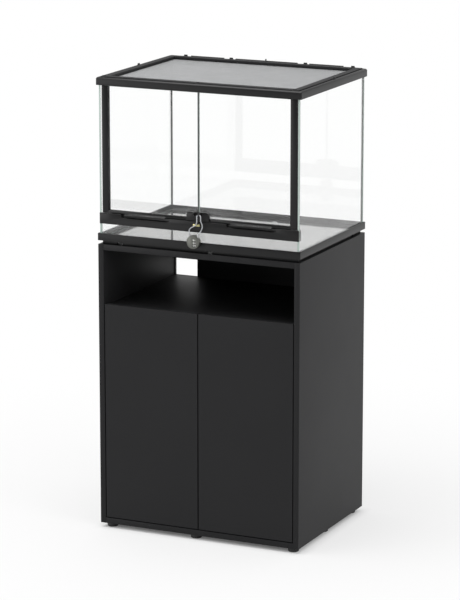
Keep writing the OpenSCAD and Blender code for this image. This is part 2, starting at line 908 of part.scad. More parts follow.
module top_frame() {
    color([0.2, 0.2, 0.205])
        difference() {
            slab(body_w + 2 * top_over, body_d, top_corner_r, top_band_z, rim_top_z);
            for (a = [0, 180])
                rotate([0, 0, a])
                    rim_bevel(half_d, body_w + 2 * top_over + 2 * cut);
            for (a = [90, 270])
                rotate([0, 0, a])
                    rim_bevel(half_w + top_over, body_d + 2 * cut);
            span([-half_w + top_w, -half_d + top_w, top_band_z - cut],
                [half_w - top_w, half_d - top_w, tank_top_z + cut]);
            span([-rim_in_x, -rim_in_y, ledge_z], [rim_in_x, rim_in_y, tank_top_z + cut]);
            at_sides() {
                span([pane_in_x - glass_fit, -pane_y, top_band_z - cut],
                    [pane_x + glass_fit, pane_y + glass_fit, pane_top_z + glass_fit]);
                translate([pivot_x, pivot_y, top_band_z - cut])
                    cylinder(d = pivot_d + 2 * run_fit, h = pivot_in + blind_gap + cut);
            }
            span([-pane_in_x - cut, pane_in_y - glass_fit, top_band_z - cut],
                [pane_in_x + cut, pane_y + glass_fit, pane_top_z + glass_fit]);
            for (s = inlet_spans)
                span([s[0], rim_in_y - cut, tank_top_z - inlet_h],
                    [s[1], half_d + cut, tank_top_z + cut]);
        }
}

// push-in strips that close the cable notches in the rear rim
module inlet_covers() {
    color([0.3, 0.3, 0.31])
        for (s = inlet_spans)
            span([s[0], rim_in_y, tank_top_z - inlet_h], [s[1], half_d, tank_top_z + inlet_up]);
}

// small stepped clips in the gap between the rim and the lid
module lid_clips() {
    clip_t = lid_gap - part_gap;
    // outline of a clip of the width w that stands h above the frame, seen from the lid
    function outline(w, h) = [
        [-w / 2, 0],
        [w / 2, 0],
        [w / 2, lid_h],
        [w / 2 - clip_step, lid_h],
        [w / 2 - clip_step, lid_h + h],
        [-w / 2 + clip_step, lid_h + h],
        [-w / 2 + clip_step, lid_h],
        [-w / 2, lid_h]];
    // clip of the width w and height h against the rim at p, on the side that the turn faces
    module clip(p, turn, w, h) {
        translate([p[0], p[1], ledge_z])
            rotate([0, 0, turn])
                rotate([90, 0, 0])
                    linear_extrude(clip_t)
                        polygon(outline(w, h));
    }
    color([0.12, 0.12, 0.12]) {
        for (x = back_clip_x)
            clip([x, rim_in_y], 0, clip_w, clip_up);
        clip([0, rim_in_y], 0, mid_clip_w, mid_clip_up);
        for (x = [-lid_x + clip_end, 0, lid_x - clip_end])
            clip([x, -rim_in_y], 180, clip_w, clip_up);
        clip([rim_in_x, side_clip_y], -90, clip_w, clip_up);
        clip([-rim_in_x, side_clip_y], 90, clip_w, clip_up);
    }
}

module lid_frame() {
    color([0.3, 0.3, 0.31])
        difference() {
            slab(2 * lid_x, 2 * lid_y, lid_corner_r, ledge_z, tank_top_z);
            span([-lid_x + lid_border, -lid_y + lid_border, ledge_z - cut],
                [lid_x - lid_border, lid_y - lid_border, tank_top_z + cut]);
            span([-lid_x + lid_border - mesh_seat, -lid_y + lid_border - mesh_seat, ledge_z - cut],
                [lid_x - lid_border + mesh_seat, lid_y - lid_border + mesh_seat, mesh_z]);
        }
}

module lid_mesh() {
    color([0.7, 0.7, 0.7])
        span([-lid_x + lid_border - mesh_seat + part_gap, -lid_y + lid_border - mesh_seat + part_gap,
                mesh_z - mesh_t],
            [lid_x - lid_border + mesh_seat - part_gap, lid_y - lid_border + mesh_seat - part_gap,
                mesh_z]);
}

// ---------- glass doors ----------

module door_glass_right() {
    color([0.75, 0.88, 0.85, 0.3])
        span([door_glass_x, door_glass_y - door_glass_t / 2, door_z + foot_profile_h - glass_seat],
            [post_in_x + glass_seat, door_glass_y + door_glass_t / 2, door_top_z]);
}

module door_glass_left() {
    left_of()
        door_glass_right();
}

// hinge post: a profile with round outer corners, turning about the pivot pins
module door_post_right() {
    color([0.19, 0.19, 0.195])
        difference() {
            translate([0, 0, door_z])
                linear_extrude(door_top_z - door_z)
                    post_outline();
            span([post_in_x - cut, door_glass_y - door_glass_t / 2 - glass_fit, door_z - cut],
                [post_in_x + glass_seat + glass_fit, door_glass_y + door_glass_t / 2 + glass_fit,
                    door_top_z + cut]);
            for (z = [door_z - cut, door_top_z - pivot_in])
                translate([pivot_x, pivot_y, z])
                    cylinder(d = pivot_d + 2 * seat_fit, h = pivot_in + cut);
        }
}

// outline of a hinge post in X and Y
module post_outline() {
    post_out_x = post_in_x + post_w;
    translate([post_in_x, post_front_y])
        square([post_w - post_round, post_d]);
    translate([post_in_x, post_front_y + post_round])
        square([post_w, post_d - 2 * post_round]);
    for (y = [post_front_y + post_round, post_front_y + post_d - post_round])
        translate([post_out_x - post_round, y])
            circle(post_round);
}

module door_post_left() {
    left_of()
        door_post_right();
}

module door_pivots_right() {
    color("silver")
        for (z = [rail_top_z - pivot_in, door_top_z - pivot_in])
            translate([pivot_x, pivot_y, z])
                cylinder(d = pivot_d, h = pivot_reach);
}

module door_pivots_left() {
    left_of()
        door_pivots_right();
}

// profile under the door glass, moulded in one with the finger lip
module door_foot_right() {
    lip_y = rail_front_y - lip_out;
    foot_top_z = door_z + foot_profile_h;
    lip = [
        [foot_front_y + lap, door_z + lip_t],
        [foot_front_y + lap, door_z],
        [rail_front_y - lip_root, door_z],
        [lip_y + lip_t, door_z - lip_drop],
        [lip_y, door_z - lip_drop],
        [lip_y, door_z - lip_drop / 3]];
    color([0.19, 0.19, 0.195])
        difference() {
            union() {
                span([strip_x, foot_front_y, door_z],
                    [post_in_x - foot_end_gap, foot_front_y + foot_profile_d, foot_top_z]);
                translate([recess_in + lip_end_gap, 0, 0])
                    rotate([90, 0, 90])
                        linear_extrude(recess_out - recess_in - 2 * lip_end_gap)
                            polygon(lip);
            }
            span([strip_x - cut, door_glass_y - door_glass_t / 2 - glass_fit,
                    foot_top_z - glass_seat - glass_fit],
                [post_in_x, door_glass_y + door_glass_t / 2 + glass_fit, foot_top_z + cut]);
        }
}

module door_foot_left() {
    left_of()
        door_foot_right();
}

module edge_strip_right() {
    color([0.3, 0.3, 0.3])
        span([strip_x, door_glass_y - door_glass_t / 2 - strip_wall,
                door_z + foot_profile_h + foot_end_gap],
            [door_glass_x, door_glass_y + door_glass_t / 2 + strip_wall, door_top_z]);
}

module edge_strip_left() {
    left_of()
        edge_strip_right();
}

// plate on the door's lower inner corner, with an ear for the lock's cable
module lock_plate_right() {
    plate_y0 = foot_front_y - lock_plate_t;
    step_z = door_z + foot_profile_h;
    glass_y0 = door_glass_y - door_glass_t / 2;
    corner_r = plate_up / 2 - plate_flat;
    color([0.15, 0.15, 0.15]) {
        difference() {
            union() {
                translate([0, foot_front_y, 0])
                    rotate([90, 0, 0])
                        linear_extrude(lock_plate_t)
                            plate_outline(strip_x, door_z, corner_r);
                translate([0, glass_y0, 0])
                    rotate([90, 0, 0])
                        linear_extrude(glass_y0 - foot_front_y + lap)
                            intersection() {
                                plate_outline(door_glass_x, door_z, corner_r);
                                translate([0, step_z])
                                    square([plate_w, plate_up]);
                            }
                span([ear_x, ear_hole_y, ear_hole_z - ear_hole_end],
                    [ear_x + ear_t, plate_y0 + lap, ear_hole_z + ear_hole_end]);
                rod_x([ear_x, ear_hole_y, ear_hole_z], 2 * ear_hole_end, ear_t);
            }
            rod_x([ear_x - cut, ear_hole_y, ear_hole_z], ear_hole_d, ear_t + 2 * cut);
        }
    }
}

// outline of a lock plate in X and Z, with its outer upper corner rounded
module plate_outline(x0, z0, r) {
    translate([x0, z0])
        square([plate_w - x0 - r, plate_up]);
    translate([x0, z0])
        square([plate_w - x0, plate_up - r]);
    translate([plate_w - r, z0 + plate_up - r])
        circle(r);
}

module lock_plate_left() {
    left_of()
        lock_plate_right();
}

// ---------- cable lock ----------

// level of a dial's underside, counted from the middle dial
function dial_z(i) = case_z - dial_drop + i * dial_pitch - dial_h / 2;

// the space that the dials and the spindle take in the lock's case
module lock_hollows() {
    for (i = [-1, 0, 1])
        translate([dial_axis_x, ear_hole_y, dial_z(i) - part_gap])
            cylinder(d = dial_d + 2 * part_gap, h = dial_h + 2 * part_gap);
    translate([dial_axis_x, ear_hole_y, spindle_z0])
        cylinder(d = spindle_d + 2 * seat_fit, h = spindle_z1 - spindle_z0);
    for (x = ferrule_x)
        translate([x, ear_hole_y, ferrule_z])
            cylinder(d = ferrule_d + 2 * seat_fit, h = case_d);
}

module lock_shell_half(y0, y1) {
    difference() {
        rod_y([case_x, y0, case_z], case_d, y1 - y0);
        lock_hollows();
    }
}

module lock_shell_front() {
    color([0.6, 0.6, 0.58])
        lock_shell_half(ear_hole_y - case_t / 2, ear_hole_y);
}

module lock_shell_back() {
    color([0.55, 0.55, 0.53])
        lock_shell_half(ear_hole_y, ear_hole_y + case_t / 2);
}

module lock_spindle() {
    color("silver")
        translate([dial_axis_x, ear_hole_y, spindle_z0 + spindle_end_gap])
            cylinder(d = spindle_d, h = spindle_z1 - spindle_z0 - 2 * spindle_end_gap);
}

// ten-sided dial; the flat sides carry the numbers
module lock_dial(i) {
    color([0.1, 0.1, 0.1])
        translate([dial_axis_x, ear_hole_y, dial_z(i)])
            difference() {
                cylinder(d = dial_d, h = dial_h, $fn = 10);
                translate([0, 0, -cut])
                    cylinder(d = spindle_d + 2 * run_fit, h = dial_h + 2 * cut, $fn = 48);
            }
}

module lock_dial_top() {
    lock_dial(1);
}

module lock_dial_middle() {
    lock_dial(0);
}

module lock_dial_bottom() {
    lock_dial(-1);
}

module lock_ferrules() {
    color([0.8, 0.8, 0.8])
        for (x = ferrule_x)
            difference() {
                translate([x, ear_hole_y, ferrule_z])
                    cylinder(d = ferrule_d, h = ferrule_h);
                translate([x, ear_hole_y, ferrule_z + ferrule_floor])
                    cylinder(d = cable_d + 2 * seat_fit, h = ferrule_h);
            }
}

// Route of the cable in X and Z: from the left ferrule up, through the ear, and
// down to the right ferrule. Above the door's lower edge it stays right of the
// middle gap, so the left door can open without it.
function bez(a, b, c, d, t) =
    a * pow(1 - t, 3) + b * 3 * t * pow(1 - t, 2) + c * 3 * t * t * (1 - t) + d * pow(t, 3);

cable_start = ferrule_z + ferrule_floor + blind_gap;
leg_start = ferrule_z + ferrule_h + blind_gap;
loop_left_x = strip_x + cable_d / 2 + part_gap;
loop_mid_x = ear_x + ear_t / 2;
loop_r = loop_mid_x - loop_left_x;
loop_right_x = loop_mid_x + loop_r;
legs_z = hang_z - loop_r;
leg_end = door_z + 2;
leg_steps = 11;
left_leg = [for (i = [0 : leg_steps])
    bez([ferrule_x[0], leg_start], [ferrule_x[0] - 8, leg_start + 26],
        [loop_left_x, leg_end - 23], [loop_left_x, leg_end], i / leg_steps)];
arch = [for (a = [180 : -15 : 0])
    [loop_mid_x + loop_r * cos(a), legs_z + loop_r * sin(a)]];
right_leg = [for (i = [leg_steps : -1 : 0])
    bez([ferrule_x[1], leg_start], [ferrule_x[1] + 17, leg_start + 18],
        [loop_right_x + 7, leg_end - 12], [loop_right_x, leg_end], i / leg_steps)];
cable_route = concat([[ferrule_x[0], cable_start]], left_leg, arch, right_leg,
    [[ferrule_x[1], cable_start]]);

// a tube swept along a route that lies in the plane y
module swept_tube(route, y, r, sides) {
    last = len(route) - 1;
    function unit(v) = v / norm(v);
    function heading(i) = unit(route[min(i + 1, last)] - route[max(i - 1, 0)]);
    rings = [for (i = [0 : last], k = [0 : sides - 1])
        let (h = heading(i), a = 360 * k / sides, side = r * cos(a), out = r * sin(a))
            [route[i][0] - h[1] * side, y + out, route[i][1] + h[0] * side]];
    skin = [for (i = [0 : last - 1], k = [0 : sides - 1])
        let (n = (k + 1) % sides, p = i * sides, q = p + sides)
            each [[p + k, p + n, q + n], [p + k, q + n, q + k]]];
    ends = [for (k = [1 : sides - 2])
        each [[0, k + 1, k], [last * sides, last * sides + k, last * sides + k + 1]]];
    polyhedron(points = rings, faces = concat(skin, ends), convexity = 4);
}

module lock_cable() {
    color([0.75, 0.75, 0.76])
        swept_tube(cable_route, ear_hole_y, cable_d / 2, 10);
}

// ---------- what is drawn ----------

side_panel_left();
side_panel_right();
top_panel();
bottom_panel();
niche_shelf();
back_panel();
inner_shelf();
shelf_pins();
feet();
dowels();
cam_locks();
cam_bolts();
back_screws();
cabinet_door_left();
cabinet_door_right();
hinge_cups_left();
hinge_cups_right();
hinge_arms_left();
hinge_arms_right();
latch_bodies();
latch_plunger_left();
latch_plunger_right();
strike_plate_left();
strike_plate_right();
base_frame();
floor_glass();
side_glass_left();
side_glass_right();
back_glass();
front_glass();
silicone_seams();
front_rail();
keeper();
top_frame();
inlet_covers();
lid_clips();
lid_frame();
lid_mesh();
door_glass_left();
door_glass_right();
door_post_left();
door_post_right();
door_pivots_left();
door_pivots_right();
door_foot_left();
door_foot_right();
edge_strip_left();
edge_strip_right();
lock_plate_left();
lock_plate_right();
lock_shell_front();
lock_shell_back();
lock_spindle();
lock_cable();
lock_ferrules();
lock_dial_top();
lock_dial_middle();
lock_dial_bottom();
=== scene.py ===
import json
import math

import bmesh
import bpy
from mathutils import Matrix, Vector

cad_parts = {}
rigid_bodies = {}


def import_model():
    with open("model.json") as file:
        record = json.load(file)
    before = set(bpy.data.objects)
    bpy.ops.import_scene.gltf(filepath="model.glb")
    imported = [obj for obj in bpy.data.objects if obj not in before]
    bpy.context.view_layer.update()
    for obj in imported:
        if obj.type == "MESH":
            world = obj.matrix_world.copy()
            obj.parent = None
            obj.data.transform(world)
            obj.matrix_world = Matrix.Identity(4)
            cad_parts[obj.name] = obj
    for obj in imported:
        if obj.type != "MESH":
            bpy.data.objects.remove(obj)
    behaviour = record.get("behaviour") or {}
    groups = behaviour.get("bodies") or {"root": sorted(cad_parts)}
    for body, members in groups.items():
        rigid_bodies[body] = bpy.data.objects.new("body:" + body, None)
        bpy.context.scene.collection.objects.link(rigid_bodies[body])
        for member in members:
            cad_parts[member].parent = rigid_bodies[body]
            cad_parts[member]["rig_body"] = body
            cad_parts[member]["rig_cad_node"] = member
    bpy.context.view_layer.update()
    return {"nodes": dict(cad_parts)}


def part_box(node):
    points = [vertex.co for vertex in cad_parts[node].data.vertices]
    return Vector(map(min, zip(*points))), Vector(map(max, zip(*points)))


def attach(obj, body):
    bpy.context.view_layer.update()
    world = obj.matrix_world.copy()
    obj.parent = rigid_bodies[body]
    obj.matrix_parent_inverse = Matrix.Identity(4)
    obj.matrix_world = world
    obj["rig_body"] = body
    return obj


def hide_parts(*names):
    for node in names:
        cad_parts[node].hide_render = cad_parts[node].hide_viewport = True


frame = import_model()
nodes = frame["nodes"]


# ---------- feet ----------
# Nine round glides of black polyamide carry the cabinet. Each is moulded in one with the peg
# that is pressed into the bottom board, and its lower edge is bevelled, so that it slides.

glide_r = 0.015
glide_h = 0.013
glide_bevel = 0.0015
glide_edge_r = 0.0003
sole_rim = 0.0035
sole_deep = 0.0006
peg_r = 0.004
peg_h = 0.010
glide_places = [
    (-0.275, -0.2), (-0.017, -0.2), (0.275, -0.2),
    (-0.275, 0.0), (0.0, 0.0), (0.275, 0.0),
    (-0.275, 0.195), (0.0, 0.195), (0.275, 0.195),
]
sharp_angle = math.radians(32)
smooth_angle = math.radians(38)
square = 0.99  # the least part of a direction that counts as along an axis
near = 0.0001  # the furthest from a face that counts as on it


def put_down():
    """Deselects everything, so that the next operator acts on one piece alone."""
    for thing in bpy.context.selected_objects:
        thing.select_set(False)


def take_up(piece):
    """Makes a piece the one that the operators act on."""
    put_down()
    piece.select_set(True)
    bpy.context.view_layer.objects.active = piece


def settle(name):
    """Names the piece that was just added and moves its place into its mesh."""
    piece = bpy.context.active_object
    piece.name = name
    piece.data.name = name
    bpy.ops.object.transform_apply(location=True, rotation=True, scale=True)
    return piece


def pick(piece, kind, wanted):
    """Opens a piece and selects its faces or edges by their middle and direction."""
    take_up(piece)
    bpy.ops.object.mode_set(mode="EDIT")
    bpy.ops.mesh.select_mode(type=kind)
    bpy.ops.mesh.select_all(action="DESELECT")
    mesh = bmesh.from_edit_mesh(piece.data)
    if kind == "FACE":
        found = [face for face in mesh.faces if wanted(face.calc_center_median(), face.normal)]
    else:
        found = []
        for edge in mesh.edges:
            start, end = edge.verts[0].co, edge.verts[1].co
            if wanted((start + end) / 2, (end - start).normalized()):
                found.append(edge)
    for part in found:
        part.select_set(True)
    bmesh.update_edit_mesh(piece.data)
    if not found:
        raise ValueError(f"nothing was picked on {piece.name}")


def close():
    """Leaves edit mode."""
    bpy.ops.object.mode_set(mode="OBJECT")


def soften(piece, width, segments=2):
    """Breaks every sharp edge of a finished shape, and shades its round faces smooth."""
    take_up(piece)
    edge = piece.modifiers.new("edge", "BEVEL")
    edge.width = width
    edge.segments = segments
    edge.limit_method = "ANGLE"
    edge.angle_limit = sharp_angle
    edge.use_clamp_overlap = False
    bpy.ops.object.modifier_apply(modifier=edge.name)
    bpy.ops.object.shade_smooth_by_angle(angle=smooth_angle)


def copied(piece, name, move):
    """A second piece like the first, with a mesh of its own, moved in its mesh."""
    take_up(piece)
    bpy.ops.object.duplicate()
    bpy.ops.transform.translate(value=move)
    return settle(name)


def seen(red, green, blue):
    """A colour from its levels on a screen, 0 to 255."""
    levels = [red / 255, green / 255, blue / 255]
    return [x / 12.92 if x <= 0.04045 else ((x + 0.055) / 1.055) ** 2.4 for x in levels] + [1]


class Reading:
    """What a node gives over a surface, with sums on it written as sums."""

    def __init__(self, finish, socket):
        self.finish = finish
        self.socket = socket

    def maths(self, operation, *values):
        inputs = dict(enumerate(values))
        return self.finish.node("ShaderNodeMath", {"operation": operation}, inputs)

    def __add__(self, other):
        return self.maths("ADD", self, other)

    def __radd__(self, other):
        return self.maths("ADD", other, self)

    def __sub__(self, other):
        return self.maths("SUBTRACT", self, other)

    def __rsub__(self, other):
        return self.maths("SUBTRACT", other, self)

    def __mul__(self, other):
        return self.maths("MULTIPLY", self, other)

    def __rmul__(self, other):
        return self.maths("MULTIPLY", other, self)

    def __gt__(self, other):
        return self.maths("GREATER_THAN", self, other)

    def __abs__(self):
        return self.maths("ABSOLUTE", self)

    def sine(self):
        return self.maths("SINE", self)

    def larger(self, other):
        return self.maths("MAXIMUM", self, other)


class Finish:
    """One finish of the object: a material, its shader, and the nodes that vary it."""

    def __init__(self, name, fixed):
        self.material = bpy.data.materials.new(name)
        self.material.use_nodes = True
        self.tree = self.material.node_tree
        self.shader = self.tree.nodes["Principled BSDF"]
        for socket, value in fixed.items():
            self.shader.inputs[socket].default_value = value

    def node(self, kind, settings, inputs, output=0):
        made = self.tree.nodes.new(kind)
        for setting, value in settings.items():
            setattr(made, setting, value)
        for socket, value in inputs.items():
            if isinstance(value, Reading):
                self.tree.links.new(value.socket, made.inputs[socket])
            else:
                made.inputs[socket].default_value = value
        return Reading(self, made.outputs[output])

    def place(self):
        return self.node("ShaderNodeTexCoord", {}, {}, "Object")

    def along(self, axis):
        return self.node("ShaderNodeSeparateXYZ", {}, {0: self.place()}, axis)

    def noise(self, scale, detail=2.0, stretch=(1, 1, 1)):
        laid = self.node("ShaderNodeMapping", {}, {"Vector": self.place(), "Scale": stretch})
        return self.node(
            "ShaderNodeTexNoise", {}, {"Vector": laid, "Scale": scale, "Detail": detail}
        )

    def tint(self, share, first, second):
        settings = {"data_type": "RGBA"}
        return self.node("ShaderNodeMix", settings, {0: share, 6: first, 7: second}, 2)

    def relief(self, height, depth, strength=1.0):
        inputs = {"Height": height, "Distance": depth, "Strength": strength}
        return self.node("ShaderNodeBump", {}, inputs)

    def feed(self, socket, reading):
        self.tree.links.new(reading.socket, self.shader.inputs[socket])


def coat(piece, *finishes):
    """Gives a piece its finishes, the first one all over."""
    piece.data.materials.clear()
    for finish in finishes:
        piece.data.materials.append(finish.material)


def fit(piece, body, node):
    """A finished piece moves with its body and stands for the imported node."""
    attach(piece, body)
    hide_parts(node)


polyamide = Finish("black polyamide", {"Specular IOR Level": 0.4})
grind = polyamide.noise(700, 3)
polyamide.feed("Base Color", polyamide.tint(grind, seen(26, 26, 26), seen(40, 40, 41)))
polyamide.feed("Roughness", 0.42 + 0.2 * grind)
polyamide.feed("Normal", polyamide.relief(grind, 0.00008, 0.5))

put_down()
bpy.ops.mesh.primitive_cylinder_add(
    vertices=48, radius=glide_r, depth=glide_h, location=(*glide_places[0], glide_h / 2)
)
glide = settle("glide_1")
pick(glide, "EDGE", lambda middle, way: middle.z < near)
bpy.ops.mesh.bevel(offset=glide_bevel, segments=1, affect="EDGES")
pick(glide, "FACE", lambda middle, normal: normal.z < -square)
bpy.ops.mesh.inset(thickness=sole_rim)
bpy.ops.mesh.extrude_region_move(TRANSFORM_OT_translate={"value": (0, 0, sole_deep)})
pick(glide, "FACE", lambda middle, normal: normal.z > square and middle.z > glide_h - near)
bpy.ops.mesh.inset(thickness=glide_r - peg_r)
bpy.ops.mesh.extrude_region_move(TRANSFORM_OT_translate={"value": (0, 0, peg_h)})
close()
soften(glide, glide_edge_r)
coat(glide, polyamide)
glides = [glide]
for number, place in enumerate(glide_places[1:], start=2):
    step = (place[0] - glide_places[0][0], place[1] - glide_places[0][1], 0)
    glides.append(copied(glide, f"glide_{number}", step))
for glide in glides:
    fit(glide, "cabinet", "feet")


# ---------- carcass boards ----------
# Two full-height sides with a bottom, a shelf and a top between them: chipboard with a black
# melamine skin. Each visible edge has a plastic band a millimetre thick, glued on and rounded.

band_t = 0.001
band_r = 0.0006
cam_places = [(-0.25, -0.133), (-0.25, 0.125), (0.25, -0.133), (0.25, 0.125)]
cam_pocket_w = 0.0151
cam_pocket_deep = 0.01205
cutter_lead = 0.002
front = Vector((0, -1, 0))
up = Vector((0, 0, 1))


def melamine_finish(name, dark, light, gloss, sheen=0.12):
    """Black melamine: a fine pearl press texture and a slightly uneven sheen."""
    finish = Finish(name, {"Specular IOR Level": sheen})
    pearl = finish.noise(1100, 2)
    haze = finish.noise(5, 3)
    finish.feed("Base Color", finish.tint(0.5 * pearl + 0.5 * haze, dark, light))
    finish.feed("Roughness", gloss + 0.1 * pearl + 0.08 * haze)
    finish.feed("Normal", finish.relief(pearl, 0.00005, 0.35))
    return finish


black_melamine = melamine_finish("black melamine", seen(34, 34, 35), seen(41, 41, 42), 0.44)
dark_melamine = melamine_finish("dark melamine", seen(29, 29, 30), seen(36, 36, 37), 0.48)
niche_melamine = melamine_finish("niche melamine", seen(29, 29, 30), seen(36, 36, 37), 0.42, 0.4)
edge_band = Finish("edge band", {"Specular IOR Level": 0.12})
planed = edge_band.noise(60, 2, (1, 1, 0.06))
edge_band.feed("Base Color", edge_band.tint(planed, seen(31, 31, 32), seen(39, 39, 40)))
edge_band.feed("Roughness", 0.38 + 0.14 * planed)


def block(name, low, high):
    """A block between two corners."""
    put_down()
    size = high - low
    bpy.ops.mesh.primitive_cube_add(size=1, location=(low + high) / 2, scale=size)
    return settle(name)


def board(name, node):
    """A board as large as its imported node, with its edges rounded."""
    piece = block(name, *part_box(node))
    pick(piece, "EDGE", lambda middle, way: True)
    bpy.ops.mesh.bevel(offset=band_r, segments=2, affect="EDGES")
    close()
    bpy.ops.object.shade_smooth_by_angle(angle=smooth_angle)
    return piece


def cut_band(piece, outward):
    """Parts the outer millimetre of a board on one side as its edge band."""
    reaches = [corner.co.dot(outward) for corner in piece.data.vertices]
    seam = outward * (max(reaches) - band_t)
    pick(piece, "FACE", lambda middle, normal: True)
    bpy.ops.mesh.bisect(plane_co=seam, plane_no=outward)
    close()
    for face in piece.data.polygons:
        if (face.center - seam).dot(outward) > 0:
            face.material_index = 1


def carve(piece, cutter):
    """Takes the cutter's shape out of a piece."""
    take_up(piece)
    cut = piece.modifiers.new("cut", "BOOLEAN")
    cut.operation = "DIFFERENCE"
    cut.object = cutter
    bpy.ops.object.modifier_apply(modifier=cut.name)
    bpy.data.objects.remove(cutter)


def drill(piece, place, inward, width, depth):
    """A round hole that starts just outside the piece."""
    put_down()
    bpy.ops.mesh.primitive_cylinder_add(
        vertices=48,
        radius=width / 2,
        depth=depth + cutter_lead,
        location=Vector(place) + inward * (depth - cutter_lead) / 2,
        rotation=inward.to_track_quat("Z", "Y").to_euler(),
    )
    carve(piece, settle("drill"))


side_left = board("side_board_left", "side_panel_left")
side_right = board("side_board_right", "side_panel_right")
for side, node in ((side_left, "side_panel_left"), (side_right, "side_panel_right")):
    coat(side, black_melamine, edge_band)
    cut_band(side, front)
    cut_band(side, up)
    fit(side, "cabinet", node)

bottom = board("bottom_board", "bottom_panel")
middle_shelf = board("niche_board", "niche_shelf")
top = board("top_board", "top_panel")
for piece, node, slot, skin in (
    (bottom, "bottom_panel", "black_board", black_melamine),
    (middle_shelf, "niche_shelf", "dark_board", niche_melamine),
    (top, "top_panel", "dark_board", dark_melamine),
):
    coat(piece, skin, edge_band)
    cut_band(piece, front)
    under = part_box(node)[0].z
    for x, y in cam_places:
        drill(piece, (x, y, under), up, cam_pocket_w, cam_pocket_deep)
    fit(piece, "cabinet", node)

loose_shelf = board("loose_shelf", "inner_shelf")
coat(loose_shelf, dark_melamine, edge_band)
cut_band(loose_shelf, front)
fit(loose_shelf, "cabinet", "inner_shelf")


# ---------- back board ----------
# A thin black board between the sides, screwed to the three horizontal boards from behind. The
# rectangle sawn out of the niche's lower left corner lets leads through to the wall.

hole_low = Vector((-0.282, 0.21, 0.632))
hole_high = Vector((-0.212, 0.23, 0.682))
hole_corner_r = 0.0015
outer_face_y = 0.225
screw_rows = [0.021, 0.624, 0.797]
screw_columns = [-0.244, -0.0813333, 0.0813333, 0.244]
screw_pocket_w = 0.0061
screw_pocket_deep = 0.003

back_melamine = melamine_finish("back melamine", seen(38, 38, 39), seen(46, 46, 47), 0.5)
back = board("back_board", "back_panel")
coat(back, back_melamine)
saw_cut = block("saw_cut", hole_low, hole_high)
pick(saw_cut, "EDGE", lambda middle, way: abs(way.y) > square)
bpy.ops.mesh.bevel(offset=hole_corner_r, segments=3, affect="EDGES")
close()
carve(back, saw_cut)
for z in screw_rows:
    for x in screw_columns:
        drill(back, (x, outer_face_y, z), front, screw_pocket_w, screw_pocket_deep)
fit(back, "cabinet", "back_panel")


# ---------- carcass hardware ----------
# Beech dowels and zinc-plated cam fasteners hold the boards together, four pins carry the loose
# shelf, and countersunk screws hold the back. All are bought parts, pressed or driven in.


def coat_node(node, finish):
    """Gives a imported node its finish."""
    for place in nodes[node].material_slots:
        place.material = finish.material


zinc = Finish("zinc plating", {"Metallic": 1.0})
spangle = zinc.noise(350, 4)
zinc.feed("Base Color", zinc.tint(spangle, seen(150, 152, 155), seen(190, 192, 194)))
zinc.feed("Roughness", 0.28 + 0.22 * spangle)
zinc.feed("Normal", zinc.relief(spangle, 0.00004, 0.4))
for node in (
    "cam_locks", "cam_bolts", "back_screws", "shelf_pins",
    "door_pivots_left", "door_pivots_right", "lock_spindle",
):
    coat_node(node, zinc)

beech = Finish("raw beech", {"Roughness": 0.7, "Specular IOR Level": 0.3})
fibre = beech.noise(300, 4, (0.05, 1, 1))
beech.feed("Base Color", beech.tint(fibre, seen(176, 140, 98), seen(214, 182, 140)))
beech.feed("Normal", beech.relief(fibre, 0.0001, 0.5))
coat_node("dowels", beech)


# ---------- cabinet doors ----------
# Two inset doors of the same board without handles, banded on all four edges. Two round bores in
# each back take the hinge cups.

cup_bore_w = 0.0351
cup_bore_deep = 0.01155
cup_places = [(0.26, 0.1265), (0.26, 0.527)]
back_face_y = -0.209

for hand, sign in (("left", -1), ("right", 1)):
    door = board(f"board_door_{hand}", f"cabinet_door_{hand}")
    coat(door, black_melamine, edge_band)
    for outward in (up, -up, Vector((1, 0, 0)), Vector((-1, 0, 0))):
        cut_band(door, outward)
    for x, z in cup_places:
        drill(door, (sign * x, back_face_y, z), front, cup_bore_w, cup_bore_deep)
    fit(door, f"cabinet_door_{hand}", f"cabinet_door_{hand}")


# ---------- door hinges and latches ----------
# Concealed hinges of nickel-plated steel: a pressed cup with a screw flange in the door, and a
# cranked arm on a plate at the side. Push latches with a steel strike stand in for handles.

merge_reach = 0.000005
flat_angle = math.radians(1)


def moulded(name, node, width, segments=2, quarters=False, nose=None):
    """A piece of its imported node's shape, with a small radius on every edge.

    A ring is cut into quarters, so that each of its flat faces has a plain outline. A nose is a
    larger radius, of its first number, on the edges that its second picks.
    """
    take_up(nodes[node])
    bpy.ops.object.duplicate()
    piece = bpy.context.active_object
    piece.parent = None
    del piece["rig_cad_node"]
    del piece["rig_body"]
    settle(name)
    pick(piece, "FACE", lambda middle, normal: True)
    bpy.ops.mesh.customdata_custom_splitnormals_clear()
    bpy.ops.mesh.remove_doubles(threshold=merge_reach)
    bpy.ops.mesh.dissolve_limited(angle_limit=flat_angle)
    if quarters:
        for way in ((1, 0, 0), (0, 1, 0)):
            bpy.ops.mesh.select_all(action="SELECT")
            bpy.ops.mesh.bisect(plane_co=(0, 0, 0), plane_no=way)
    if nose:
        pick(piece, "EDGE", nose[1])
        bpy.ops.mesh.bevel(offset=nose[0], segments=5, affect="EDGES")
    close()
    soften(piece, width, segments)
    return piece


nickel = Finish("nickel plating", {"Metallic": 1.0})
brushed = nickel.noise(500, 3, (1, 1, 0.2))
nickel.feed("Base Color", nickel.tint(brushed, seen(186, 186, 188), seen(214, 214, 215)))
nickel.feed("Roughness", 0.2 + 0.15 * brushed)

latch_plastic = Finish("latch plastic", {"Specular IOR Level": 0.4})
sparked = latch_plastic.noise(1500, 2)
latch_plastic.feed(
    "Base Color", latch_plastic.tint(sparked, seen(60, 60, 61), seen(72, 72, 73))
)
latch_plastic.feed("Roughness", 0.4 + 0.15 * sparked)
latch_plastic.feed("Normal", latch_plastic.relief(sparked, 0.00004, 0.5))

